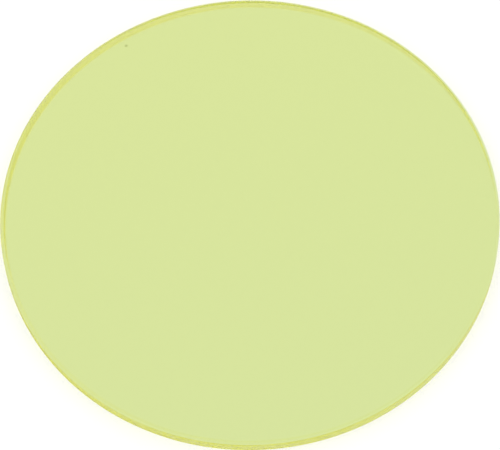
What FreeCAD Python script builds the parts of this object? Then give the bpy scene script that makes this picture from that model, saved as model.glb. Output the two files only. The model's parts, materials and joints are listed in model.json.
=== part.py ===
# Microscope filter: a bare round disc of yellow-green glass, in one piece.
# It is cut round from polished plate. The rim is ground, and the corner between
# the rim and each polished face is ground off to a narrow bevel.
# Frame: +Z up along the disc's axis, origin at the centre of the lower face.

import FreeCAD, Part
import os
import Sketcher

doc = FreeCAD.newDocument("microscope_filter")

# Driving dimensions in millimetres: alias, value and meaning of each.
dimensions = [
    ("disc_diameter", 45.0, "Diameter across the ground rim"),
    ("disc_thickness", 1.6, "Distance between the two polished faces"),
    ("upper_bevel", 0.3, "Width of the 45 degree bevel round the upper face"),
    ("lower_bevel", 0.3, "Width of the 45 degree bevel round the lower face"),
]

sheet = doc.addObject("Spreadsheet::Sheet", "sizes")
for row, (alias, value, meaning) in enumerate(dimensions, start=1):
    sheet.set(f"A{row}", meaning)
    sheet.set(f"B{row}", str(value))
    sheet.setAlias(f"B{row}", alias)
doc.recompute()


def origin_plane(body, role):
    """The body's own origin plane with the given role."""
    return next(item for item in body.Origin.OriginFeatures if item.Role == role)


def rim_edge(feature, height):
    """Name of the circular edge of a feature that lies at a height above the lower face."""
    for number, edge in enumerate(feature.Shape.Edges, start=1):
        is_round = isinstance(edge.Curve, Part.Circle)
        if is_round and abs(edge.Curve.Center.z - height) < Part.Precision.confusion():
            return f"Edge{number}"
    raise RuntimeError(f"{feature.Label} has no round edge at {height} mm")


def bevel_rim(body, base, height, name, width_alias):
    """Grind the corner of the rim at a height, to the width that the sheet gives."""
    bevel = body.newObject("PartDesign::Chamfer", name)
    bevel.Base = (base, [rim_edge(base, height)])
    bevel.setExpression("Size", f"sizes.{width_alias}")
    doc.recompute()
    return bevel


def make_filter_glass():
    """The glass: a round blank between two polished faces, then its two bevels."""
    body = doc.addObject("PartDesign::Body", "filter_glass")
    body.Label = "filter_glass"

    outline = body.newObject("Sketcher::SketchObject", "round_outline")
    outline.AttachmentSupport = [(origin_plane(body, "XY_Plane"), "")]
    outline.MapMode = "FlatFace"
    centre = FreeCAD.Vector(0, 0, 0)
    axis = FreeCAD.Vector(0, 0, 1)
    rim = outline.addGeometry(Part.Circle(centre, axis, sheet.disc_diameter / 2))
    outline.addConstraint(Sketcher.Constraint("Coincident", rim, 3, -1, 1))
    outline.addConstraint(Sketcher.Constraint("Diameter", rim, sheet.disc_diameter))
    outline.renameConstraint(1, "rim_diameter")
    outline.setExpression("Constraints.rim_diameter", "sizes.disc_diameter")

    blank = body.newObject("PartDesign::Pad", "round_blank")
    blank.Profile = outline
    blank.setExpression("Length", "sizes.disc_thickness")
    doc.recompute()

    upper = bevel_rim(body, blank, sheet.disc_thickness, "upper_rim_bevel", "upper_bevel")
    lower = bevel_rim(body, upper, 0.0, "lower_rim_bevel", "lower_bevel")
    body.Tip = lower
    body.Placement = FreeCAD.Placement(centre, FreeCAD.Rotation())
    return body


nodes = [make_filter_glass()]
doc.recompute()

for item in doc.Objects:
    if "Invalid" in item.State or "Error" in item.State:
        raise RuntimeError(f"{item.Label} did not build: {item.State}")
for node in nodes:
    if node.Shape.isNull() or not node.Shape.isValid():
        raise RuntimeError(f"{node.Label} has no valid solid")

os.makedirs("parts", exist_ok=True)
for node in nodes:
    node.Shape.exportStep(f"parts/{node.Label}.step")
    print(f"{node.Label}: {len(node.Shape.Solids)} solid, {node.Shape.Volume:.1f} cubic mm")
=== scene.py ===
import bpy
import bmesh
import json
import math
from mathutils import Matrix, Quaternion, Vector


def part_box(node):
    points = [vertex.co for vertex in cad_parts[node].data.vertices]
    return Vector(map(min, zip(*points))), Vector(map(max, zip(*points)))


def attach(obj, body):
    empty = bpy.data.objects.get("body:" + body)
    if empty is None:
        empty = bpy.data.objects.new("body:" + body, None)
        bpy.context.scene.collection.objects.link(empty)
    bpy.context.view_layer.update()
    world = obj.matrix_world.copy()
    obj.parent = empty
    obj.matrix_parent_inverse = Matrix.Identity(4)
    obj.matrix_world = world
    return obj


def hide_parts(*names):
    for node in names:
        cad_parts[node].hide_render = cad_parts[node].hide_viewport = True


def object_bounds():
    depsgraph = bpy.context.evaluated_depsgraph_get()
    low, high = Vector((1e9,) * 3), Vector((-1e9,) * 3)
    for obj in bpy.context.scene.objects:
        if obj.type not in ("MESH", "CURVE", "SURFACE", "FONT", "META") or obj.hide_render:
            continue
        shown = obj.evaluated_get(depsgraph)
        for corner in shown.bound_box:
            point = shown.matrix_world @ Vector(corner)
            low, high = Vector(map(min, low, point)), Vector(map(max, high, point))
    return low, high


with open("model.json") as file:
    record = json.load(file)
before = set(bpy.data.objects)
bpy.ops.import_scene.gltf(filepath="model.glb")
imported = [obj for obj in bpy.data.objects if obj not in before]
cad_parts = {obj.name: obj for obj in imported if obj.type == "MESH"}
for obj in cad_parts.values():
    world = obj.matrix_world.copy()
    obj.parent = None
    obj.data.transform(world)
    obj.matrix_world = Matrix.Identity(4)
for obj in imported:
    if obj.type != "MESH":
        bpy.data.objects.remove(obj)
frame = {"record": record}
cadLow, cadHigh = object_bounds()
glassLow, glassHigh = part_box("filter_glass")
glassRadius = glassHigh.x
glassThickness = glassHigh.z - glassLow.z
mm = 0.001

# the straight part of the rim is a mount in the record, and the bevels take the rest of the edge
rimMount = next(mount for mount in frame["record"]["mounts"] if mount["name"] == "rim")
bevelWidth = (glassThickness - rimMount["dims"]["length_mm"] * mm) / 2
print("frame loaded: glass", round(glassRadius * 2 / mm, 1), "mm across and",
      round(glassThickness / mm, 2), "mm thick")


# small helpers for node trees

def addNode(tree, kind, **settings):
    node = tree.nodes.new(kind)
    for name, value in settings.items():
        setattr(node, name, value)
    return node


def setInputs(node, **values):
    # an underscore in a name stands for the space in the socket's name
    for name, value in values.items():
        node.inputs[name.replace("_", " ")].default_value = value


def newMaterial(name):
    material = bpy.data.materials.new(name)
    material.use_nodes = True
    tree = material.node_tree
    tree.nodes.clear()
    return material, tree, addNode(tree, "ShaderNodeOutputMaterial")


def newGroup(name, inputs, outputs):
    # a node group from plain lists of (socket name, socket type, default or None)
    group = bpy.data.node_groups.new(name, "ShaderNodeTree")
    for direction, sockets in (("INPUT", inputs), ("OUTPUT", outputs)):
        for socketName, socketType, default in sockets:
            socket = group.interface.new_socket(
                socketName, in_out=direction, socket_type="NodeSocket" + socketType)
            if default is not None:
                socket.default_value = default
    return group, addNode(group, "NodeGroupInput"), addNode(group, "NodeGroupOutput")


# the glass: a disc with a ground rim and a bevel round each face

filterGlass = {
    "rimFacets": 720,             # facets round the rim, enough for a clean edge in a close view
    # the bevels were ground by hand and off centre: how much each is wider than drawn on the whole,
    # how much more at its widest, and where that is in degrees round the rim
    "upperBevel": (-0.02 * mm, 0.04 * mm, 160),
    "lowerBevel": (-0.06 * mm, 0.14 * mm, 150),
    "bevelWaver": 0.008 * mm,     # the hand that ground them was not quite steady
    # width over which the polish fades into each bevel
    "upperArrisSoftness": 0.12 * mm,
    "lowerArrisSoftness": 0.25 * mm,
    # how coarsely each bevel is ground on the whole, beside 1 on the wall, how much more on its coarsest
    # side, and which side that is
    "upperBevelGround": (0.53, 0.12, 160),
    "lowerBevelGround": (0.87, 0.22, 160),
}


def rimAngle(vert):
    return math.atan2(vert.co.y, vert.co.x)


def extraBevel(angle, bevel):
    # how much wider than the drawing a bevel is at an angle round the rim
    wider, runout, side = filterGlass[bevel]
    phase = math.radians(side)
    waver = math.sin(5 * angle + phase) + 0.7 * math.sin(11 * angle + 2 * phase)
    waver += 0.5 * math.sin(23 * angle + 4 * phase)
    return wider + runout * math.cos(angle - phase) + filterGlass["bevelWaver"] * waver


def coarseness(angle, bevel):
    # how coarsely a bevel is ground at an angle round the rim
    whole, more, side = filterGlass[bevel]
    return min(1.0, whole + more * math.cos(angle - math.radians(side)))


def ringVerts(bm, radius, height):
    # the vertices of one ring of the rim, found by their radius and height
    close = 0.002 * mm
    return [v for v in bm.verts if abs(v.co.xy.length - radius) < close and abs(v.co.z - height) < close]


def isLevel(edge):
    return abs(edge.verts[0].co.z - edge.verts[1].co.z) < 0.1 * mm


def isPolished(face):
    return abs(face.normal.z) > 0.99


def isWall(face):
    return abs(face.normal.z) < 0.2


def makeBlank(bm):
    # a round blank with a bevel on both corners of its rim, as drawn
    bmesh.ops.create_circle(bm, cap_ends=True, radius=glassRadius, segments=filterGlass["rimFacets"])
    raised = bmesh.ops.extrude_face_region(bm, geom=bm.faces[:])
    upper = [item for item in raised["geom"] if isinstance(item, bmesh.types.BMVert)]
    bmesh.ops.translate(bm, verts=upper, vec=(0, 0, glassThickness))
    bmesh.ops.recalc_face_normals(bm, faces=bm.faces[:])
    corners = [edge for edge in bm.edges if isLevel(edge)]
    bmesh.ops.bevel(bm, geom=corners, offset=bevelWidth, offset_type="OFFSET", segments=1,
                    profile=0.5, affect="EDGES", material=-1)


def unevenBevels(bm):
    # each bevel is wider on one side, where it reaches further into its face and along the wall
    innerRadius = glassRadius - bevelWidth
    for bevel, height, down in (("upperBevel", glassThickness, 1), ("lowerBevel", 0, -1)):
        for vert in ringVerts(bm, innerRadius, height):
            vert.co.xy *= 1 - extraBevel(rimAngle(vert), bevel) / innerRadius
        for vert in ringVerts(bm, glassRadius, height - down * bevelWidth):
            vert.co.z -= down * extraBevel(rimAngle(vert), bevel)


def softenArrises(bm):
    # a narrow band of each face beside its bevel, where the polish fades out
    for face in [face for face in bm.faces if isPolished(face)]:
        softness = filterGlass["upperArrisSoftness" if face.normal.z > 0 else "lowerArrisSoftness"]
        bmesh.ops.inset_individual(bm, faces=[face], thickness=softness)


def markGround(bm):
    # how coarsely each corner of the mesh is ground: fully on the wall, less on the bevels
    # and not at all on the faces
    ground = bm.loops.layers.float.new("ground")
    for face in bm.faces:
        upper = face.calc_center_median().z > glassThickness / 2
        for corner in face.loops:
            if isWall(face):
                corner[ground] = 1.0
            elif not isPolished(face) or not all(isPolished(near) for near in corner.vert.link_faces):
                bevel = "upperBevelGround" if upper else "lowerBevelGround"
                corner[ground] = coarseness(rimAngle(corner.vert), bevel)
            else:
                corner[ground] = 0.0


def makeFilterGlass():
    bm = bmesh.new()
    makeBlank(bm)
    unevenBevels(bm)
    softenArrises(bm)
    markGround(bm)
    for face in bm.faces:
        face.smooth = not isPolished(face)
    for edge in bm.edges:
        edge.smooth = not isLevel(edge)

    mesh = bpy.data.meshes.new("filterGlassFine")
    bm.to_mesh(mesh)
    bm.free()
    glass = bpy.data.objects.new("filterGlassFine", mesh)
    bpy.context.collection.objects.link(glass)
    mesh.materials.append(colouredGlass())
    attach(glass, "root")
    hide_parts("filter_glass")
    print("glass disc made")


# the glass's finish

glassFinish = {
    "absorptionColor": (0.9985, 0.9988, 0.05, 1.0),  # the glass takes mostly the blue out of the light
    "absorptionDensity": 700.0,                      # per metre
    "paleTint": (0.690, 0.781, 0.970, 1.0),          # the faces' tint is a touch paler towards one side
    "deepTint": (0.670, 0.768, 0.968, 1.0),
    "paleSide": (-0.35, 0.94, 0.0),
    "paleGroundMottleAndShade": (0.815, 0.818, 0.670, 1.0),    # painted shade: the rim's deeper yellow from light's long way through glass, faintly mottled
    "deepGroundMottleAndShade": (0.765, 0.768, 0.610, 1.0),
    "lowRimPaintedLight": (0.90, 0.87, 0.56, 1.0),        # painted light: the rim is tinted paler and yellower low down
    "lowRimPaintedLightShare": 0.6,
    "lowRimPaintedLightTop": 0.42 * mm,                       # above this height the rim has none of that tint
    "lowRimPaintedLightFull": 0.32 * mm,                      # and below this height it has the most
    "groundShadeFrom": 0.4,                           # glass ground less coarsely keeps the faces' tint, without the painted shade
    "polishedRoughness": 0.01,
    "groundRoughness": 0.7,
    "roughnessMottle": 0.12,
    "index": 1.52,
    "grain": 12000.0,                                # grinding marks per metre
    "grainSquash": (1.0, 1.0, 5.0),                  # they run round the rim, so they are fine up and down
    "grainDepth": 0.001 * mm,
    "mottleScale": 0.12,                             # patches of mottle to one mark of the grain
}

speck = {
    "place": (-10.97 * mm, 17.80 * mm, glassThickness),
    "radius": 0.18 * mm,
    "tint": (0.34, 0.385, 0.34, 1.0),
    "raggedness": 0.4,                               # how far its outline strays, as a share of the radius
    "edgeGrain": 9000.0,                             # notches in the outline per metre
    "solidCore": 0.5,                                # share of the radius inside which it is full
}


def grindingMarks():
    # fine marks of a grinding wheel, as a height and as a light and dark mottle
    group, start, end = newGroup(
        "grindingMarks",
        [("Vector", "Vector", None), ("Scale", "Float", 1.0)],
        [("Height", "Float", None), ("Mottle", "Float", None)])
    squash = addNode(group, "ShaderNodeMapping")
    setInputs(squash, Scale=glassFinish["grainSquash"])
    fine = addNode(group, "ShaderNodeTexNoise")
    setInputs(fine, Detail=3.0, Roughness=0.7)
    broad = addNode(group, "ShaderNodeTexNoise")
    setInputs(broad, Detail=2.0, Roughness=0.5)
    broadScale = addNode(group, "ShaderNodeMath", operation="MULTIPLY")
    broadScale.inputs[1].default_value = glassFinish["mottleScale"]
    link = group.links.new
    link(start.outputs["Vector"], squash.inputs["Vector"])
    link(squash.outputs["Vector"], fine.inputs["Vector"])
    link(start.outputs["Vector"], broad.inputs["Vector"])
    link(start.outputs["Scale"], fine.inputs["Scale"])
    link(start.outputs["Scale"], broadScale.inputs[0])
    link(broadScale.outputs["Value"], broad.inputs["Scale"])
    link(fine.outputs["Fac"], end.inputs["Height"])
    link(broad.outputs["Fac"], end.inputs["Mottle"])
    return group


def smallSpeck():
    # 1 at a small uneven spot and 0 away from it
    group, start, end = newGroup(
        "smallSpeck",
        [("Vector", "Vector", None), ("Place", "Vector", None), ("Radius", "Float", 0.001)],
        [("Mask", "Float", None)])
    away = addNode(group, "ShaderNodeVectorMath", operation="DISTANCE")
    uneven = addNode(group, "ShaderNodeTexNoise")
    setInputs(uneven, Scale=speck["edgeGrain"], Detail=1.0)
    ragged = addNode(group, "ShaderNodeMapRange")
    setInputs(ragged, To_Min=1 - speck["raggedness"], To_Max=1 + speck["raggedness"])
    reach = addNode(group, "ShaderNodeMath", operation="MULTIPLY")
    share = addNode(group, "ShaderNodeMath", operation="DIVIDE")
    mask = addNode(group, "ShaderNodeMapRange", interpolation_type="SMOOTHSTEP")
    setInputs(mask, From_Min=speck["solidCore"], From_Max=1.0, To_Min=1.0, To_Max=0.0)
    link = group.links.new
    link(start.outputs["Vector"], away.inputs[0])
    link(start.outputs["Place"], away.inputs[1])
    link(start.outputs["Vector"], uneven.inputs["Vector"])
    link(uneven.outputs["Fac"], ragged.inputs["Value"])
    link(ragged.outputs["Result"], reach.inputs[0])
    link(start.outputs["Radius"], reach.inputs[1])
    link(away.outputs["Value"], share.inputs[0])
    link(reach.outputs["Value"], share.inputs[1])
    link(share.outputs["Value"], mask.inputs["Value"])
    link(mask.outputs["Result"], end.inputs["Mask"])
    return group


def mixColor(tree, factor, base, over):
    # a blend of two colours, and each may be a value or a socket
    mix = addNode(tree, "ShaderNodeMix", data_type="RGBA")
    tree.links.new(factor, mix.inputs[0])
    for socket, color in ((mix.inputs[6], base), (mix.inputs[7], over)):
        if isinstance(color, bpy.types.NodeSocket):
            tree.links.new(color, socket)
        else:
            socket.default_value = color
    return mix.outputs[2]


def faceTint(tree, place):
    # the faces' tint, which drifts from one side of the disc to the other
    towards = addNode(tree, "ShaderNodeVectorMath", operation="DOT_PRODUCT")
    towards.inputs[1].default_value = glassFinish["paleSide"]
    tree.links.new(place, towards.inputs[0])
    drift = addNode(tree, "ShaderNodeMapRange")
    setInputs(drift, From_Min=-glassRadius, From_Max=glassRadius)
    tree.links.new(towards.outputs["Value"], drift.inputs["Value"])
    return mixColor(tree, drift.outputs["Result"], glassFinish["deepTint"], glassFinish["paleTint"])


def groundMottleAndShade(tree, place, marks):
    # painted shade on the ground glass: a deeper, yellower tint stands in for light's long way through the
    # glass
    # at the rim, mottled by the marks: both noises lie about 0.5, so their sum lies about 1
    link = tree.links.new
    bothMarks = addNode(tree, "ShaderNodeMath", operation="ADD")
    link(marks.outputs["Height"], bothMarks.inputs[0])
    link(marks.outputs["Mottle"], bothMarks.inputs[1])
    frosting = addNode(tree, "ShaderNodeMapRange")
    setInputs(frosting, From_Min=0.7, From_Max=1.3)
    link(bothMarks.outputs["Value"], frosting.inputs["Value"])
    shadedMottle = mixColor(tree, frosting.outputs["Result"],
                     glassFinish["deepGroundMottleAndShade"], glassFinish["paleGroundMottleAndShade"])

    # painted light: the paler, yellower tint low down the rim
    height = addNode(tree, "ShaderNodeSeparateXYZ")
    link(place, height.inputs["Vector"])
    low = addNode(tree, "ShaderNodeMapRange")
    setInputs(low, From_Min=glassFinish["lowRimPaintedLightTop"], From_Max=glassFinish["lowRimPaintedLightFull"],
              To_Max=glassFinish["lowRimPaintedLightShare"])
    link(height.outputs["Z"], low.inputs["Value"])
    return mixColor(tree, low.outputs["Result"], shadedMottle, glassFinish["lowRimPaintedLight"])


def glassRoughness(tree, ground, marks):
    # polished or ground, and the ground glass is a little smoother here and there
    link = tree.links.new
    groundRough = addNode(tree, "ShaderNodeMapRange")
    setInputs(groundRough, From_Min=0.3, From_Max=0.7,
              To_Min=glassFinish["groundRoughness"] - glassFinish["roughnessMottle"],
              To_Max=glassFinish["groundRoughness"] + glassFinish["roughnessMottle"])
    link(marks.outputs["Mottle"], groundRough.inputs["Value"])
    rough = addNode(tree, "ShaderNodeMapRange")
    setInputs(rough, To_Min=glassFinish["polishedRoughness"])
    link(ground, rough.inputs["Value"])
    link(groundRough.outputs["Result"], rough.inputs["To Max"])
    return rough.outputs["Result"]


def grindingRelief(tree, ground, marks):
    # the grinding marks have a depth of their own, but not on the polished faces
    depth = addNode(tree, "ShaderNodeMath", operation="MULTIPLY")
    tree.links.new(marks.outputs["Height"], depth.inputs[0])
    tree.links.new(ground, depth.inputs[1])
    bump = addNode(tree, "ShaderNodeBump")
    setInputs(bump, Strength=1.0, Distance=glassFinish["grainDepth"])
    tree.links.new(depth.outputs["Value"], bump.inputs["Height"])
    return bump.outputs["Normal"]


def colouredGlass():
    material, tree, output = newMaterial("colouredGlass")
    link = tree.links.new
    place = addNode(tree, "ShaderNodeTexCoord").outputs["Object"]
    ground = addNode(tree, "ShaderNodeAttribute", attribute_name="ground").outputs["Fac"]
    marks = addNode(tree, "ShaderNodeGroup", node_tree=grindingMarks())
    setInputs(marks, Scale=glassFinish["grain"])
    link(place, marks.inputs["Vector"])
    spot = addNode(tree, "ShaderNodeGroup", node_tree=smallSpeck())
    setInputs(spot, Place=speck["place"], Radius=speck["radius"])
    link(place, spot.inputs["Vector"])

    # the faces' tint, the painted shade of the ground glass where it is coarse, and the speck over both
    coarse = addNode(tree, "ShaderNodeMapRange")
    setInputs(coarse, From_Min=glassFinish["groundShadeFrom"])
    link(ground, coarse.inputs["Value"])
    tint = mixColor(tree, coarse.outputs["Result"], faceTint(tree, place), groundMottleAndShade(tree, place, marks))
    tint = mixColor(tree, spot.outputs["Mask"], tint, speck["tint"])

    shader = addNode(tree, "ShaderNodeBsdfPrincipled")
    setInputs(shader, IOR=glassFinish["index"], Transmission_Weight=1.0)
    link(tint, shader.inputs["Base Color"])
    link(glassRoughness(tree, ground, marks), shader.inputs["Roughness"])
    link(grindingRelief(tree, ground, marks), shader.inputs["Normal"])

    # the colour deepens with the way that light goes inside the glass
    absorb = addNode(tree, "ShaderNodeVolumeAbsorption")
    setInputs(absorb, Color=glassFinish["absorptionColor"], Density=glassFinish["absorptionDensity"])
    link(shader.outputs["BSDF"], output.inputs["Surface"])
    link(absorb.outputs["Volume"], output.inputs["Volume"])
    return material


# the floor, the light and the camera

studio = {
    "floorSize": 2.0,           # metres
    "floorGap": 0.03 * mm,      # the glass rests on grains of dust, not on a perfect film
    "floorColor": (0.45, 0.45, 0.45, 1.0),
    "floorTopUp": 0.58,         # brings the lit floor up to white for the camera
    "worldLight": 0.94,         # its strength as a light, while it is seen as plain white
    "bounces": 64,              # light runs a long way round inside the glass before it comes out
    "softboxes": [              # place and size across in metres, watts
        ((-0.35, -0.05, 0.75), 0.3, 0.45),
        ((0.40, -0.15, 0.70), 0.3, 0.3),
    ],
}

photoView = {
    "elevation": 63.05,                # degrees above the floor
    "roll": -1.83,                     # degrees, the picture leans a little
    "distance": 0.25,                  # metres
    "lens": 199.60,                    # mm
    "sensorWidth": 36.0,               # mm
    "aim": (0.004 * mm, -0.889 * mm),  # the point of the glass in the middle of the picture
}


def anyRay(tree, *kinds):
    # 1 for a ray of any of these kinds and 0 for the rest
    path = addNode(tree, "ShaderNodeLightPath")
    mask = path.outputs[kinds[0]]
    for kind in kinds[1:]:
        either = addNode(tree, "ShaderNodeMath", operation="MAXIMUM")
        tree.links.new(mask, either.inputs[0])
        tree.links.new(path.outputs[kind], either.inputs[1])
        mask = either.outputs["Value"]
    return mask


def whiteFloor():
    # paper that keeps the shadow, and plain white where it is seen through the glass
    material, tree, output = newMaterial("whiteFloor")
    link = tree.links.new
    paper = addNode(tree, "ShaderNodeBsdfDiffuse")
    setInputs(paper, Color=studio["floorColor"])
    topUp = addNode(tree, "ShaderNodeEmission")
    level = addNode(tree, "ShaderNodeMath", operation="MULTIPLY")
    level.inputs[1].default_value = studio["floorTopUp"]
    link(anyRay(tree, "Is Camera Ray", "Is Glossy Ray"), level.inputs[0])
    link(level.outputs["Value"], topUp.inputs["Strength"])
    both = addNode(tree, "ShaderNodeAddShader")
    link(paper.outputs["BSDF"], both.inputs[0])
    link(topUp.outputs["Emission"], both.inputs[1])
    white = addNode(tree, "ShaderNodeEmission")
    mix = addNode(tree, "ShaderNodeMixShader")
    link(anyRay(tree, "Is Transmission Ray"), mix.inputs["Fac"])
    link(both.outputs["Shader"], mix.inputs[1])
    link(white.outputs["Emission"], mix.inputs[2])
    link(mix.outputs["Shader"], output.inputs["Surface"])
    return material


def makeFloor():
    bm = bmesh.new()
    bmesh.ops.create_grid(bm, x_segments=1, y_segments=1, size=studio["floorSize"] / 2)
    bmesh.ops.translate(bm, verts=bm.verts[:], vec=(0, 0, cadLow.z - studio["floorGap"]))
    mesh = bpy.data.meshes.new("studioFloor")
    bm.to_mesh(mesh)
    bm.free()
    mesh.materials.append(whiteFloor())
    floor = bpy.data.objects.new("studioFloor", mesh)
    bpy.context.collection.objects.link(floor)
    print("floor made")


def makeLight():
    world = bpy.data.worlds.new("studioWorld")
    world.use_nodes = True
    bpy.context.scene.world = world
    tree = world.node_tree
    tree.nodes.clear()
    output = addNode(tree, "ShaderNodeOutputWorld")
    background = addNode(tree, "ShaderNodeBackground")
    setInputs(background, Color=(1.0, 1.0, 1.0, 1.0))
    level = addNode(tree, "ShaderNodeMapRange")
    setInputs(level, To_Min=studio["worldLight"], To_Max=1.0)
    seen = anyRay(tree, "Is Camera Ray", "Is Glossy Ray", "Is Transmission Ray")
    tree.links.new(seen, level.inputs["Value"])
    tree.links.new(level.outputs["Result"], background.inputs["Strength"])
    tree.links.new(background.outputs["Background"], output.inputs["Surface"])

    for place, size, watts in studio["softboxes"]:
        lamp = bpy.data.lights.new("softbox", "AREA")
        lamp.shape = "SQUARE"
        lamp.size = size
        lamp.energy = watts
        softbox = bpy.data.objects.new("softbox", lamp)
        softbox.location = place
        softbox.rotation_euler = (-Vector(place)).to_track_quat("-Z", "Y").to_euler()
        bpy.context.collection.objects.link(softbox)
    print("lights made")


def makeCamera():
    data = bpy.data.cameras.new("photoCamera")
    data.sensor_width = photoView["sensorWidth"]
    data.lens = photoView["lens"]
    data.clip_start = 0.01
    data.clip_end = 10.0
    camera = bpy.data.objects.new("photoCamera", data)
    tilt = math.radians(photoView["elevation"])
    back = Vector((0, -math.cos(tilt), math.sin(tilt)))
    aim = Vector((*photoView["aim"], glassThickness / 2))
    turn = (-back).to_track_quat("-Z", "Y") @ Quaternion((0, 0, 1), math.radians(photoView["roll"]))
    camera.location = aim + back * photoView["distance"]
    camera.rotation_euler = turn.to_euler()
    bpy.context.collection.objects.link(camera)
    bpy.context.scene.camera = camera
    print("camera made")


def setRender():
    scene = bpy.context.scene
    scene.view_settings.view_transform = "Standard"
    scene.cycles.max_bounces = studio["bounces"]
    scene.cycles.glossy_bounces = studio["bounces"]
    scene.cycles.transmission_bounces = studio["bounces"]
    scene.cycles.blur_glossy = 0.0
    # the ground rim's fine normals would keep the noise there if the denoiser saw them
    scene.cycles.denoising_input_passes = "RGB"
    print("render settings made")


makeFilterGlass()
makeFloor()
makeLight()
makeCamera()
setRender()
